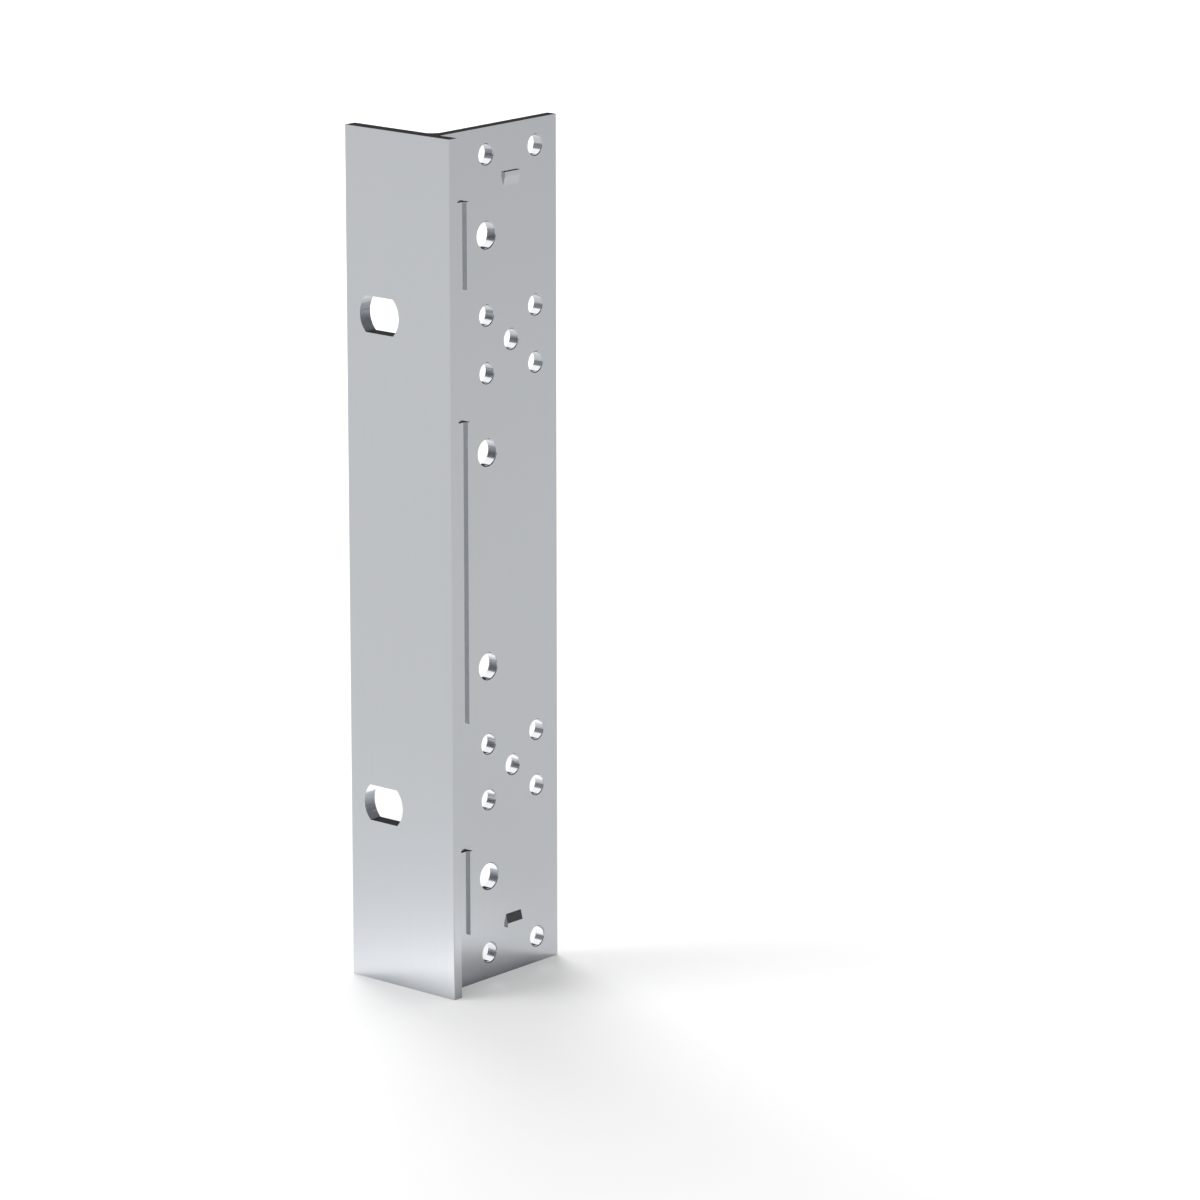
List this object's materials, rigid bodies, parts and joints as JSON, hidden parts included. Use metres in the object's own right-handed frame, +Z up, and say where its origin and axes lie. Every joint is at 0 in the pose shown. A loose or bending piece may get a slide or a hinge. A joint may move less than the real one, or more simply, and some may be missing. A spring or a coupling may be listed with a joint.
{
  "type": "rack mount ear bracket",
  "caption": "Upright T-section aluminium rack ear: a front flange with double-D rack holes, a drilled side web and raised locating strips and tabs behind a short lip.",
  "frame": {"origin": "centre of the bounding box's base, on the surface that the bracket stands on", "axes": "+Z up along the extrusion, -Y towards the front of the rack, +X from the ear's free end towards the lip"},
  "size_m": [0.028, 0.0372, 0.177],
  "materials": {
    "bracket_metal": "bright smooth anodised"
  },
  "bodies": {
    "root": {"ear_bracket": "bracket_metal"}
  },
  "joints": []
}
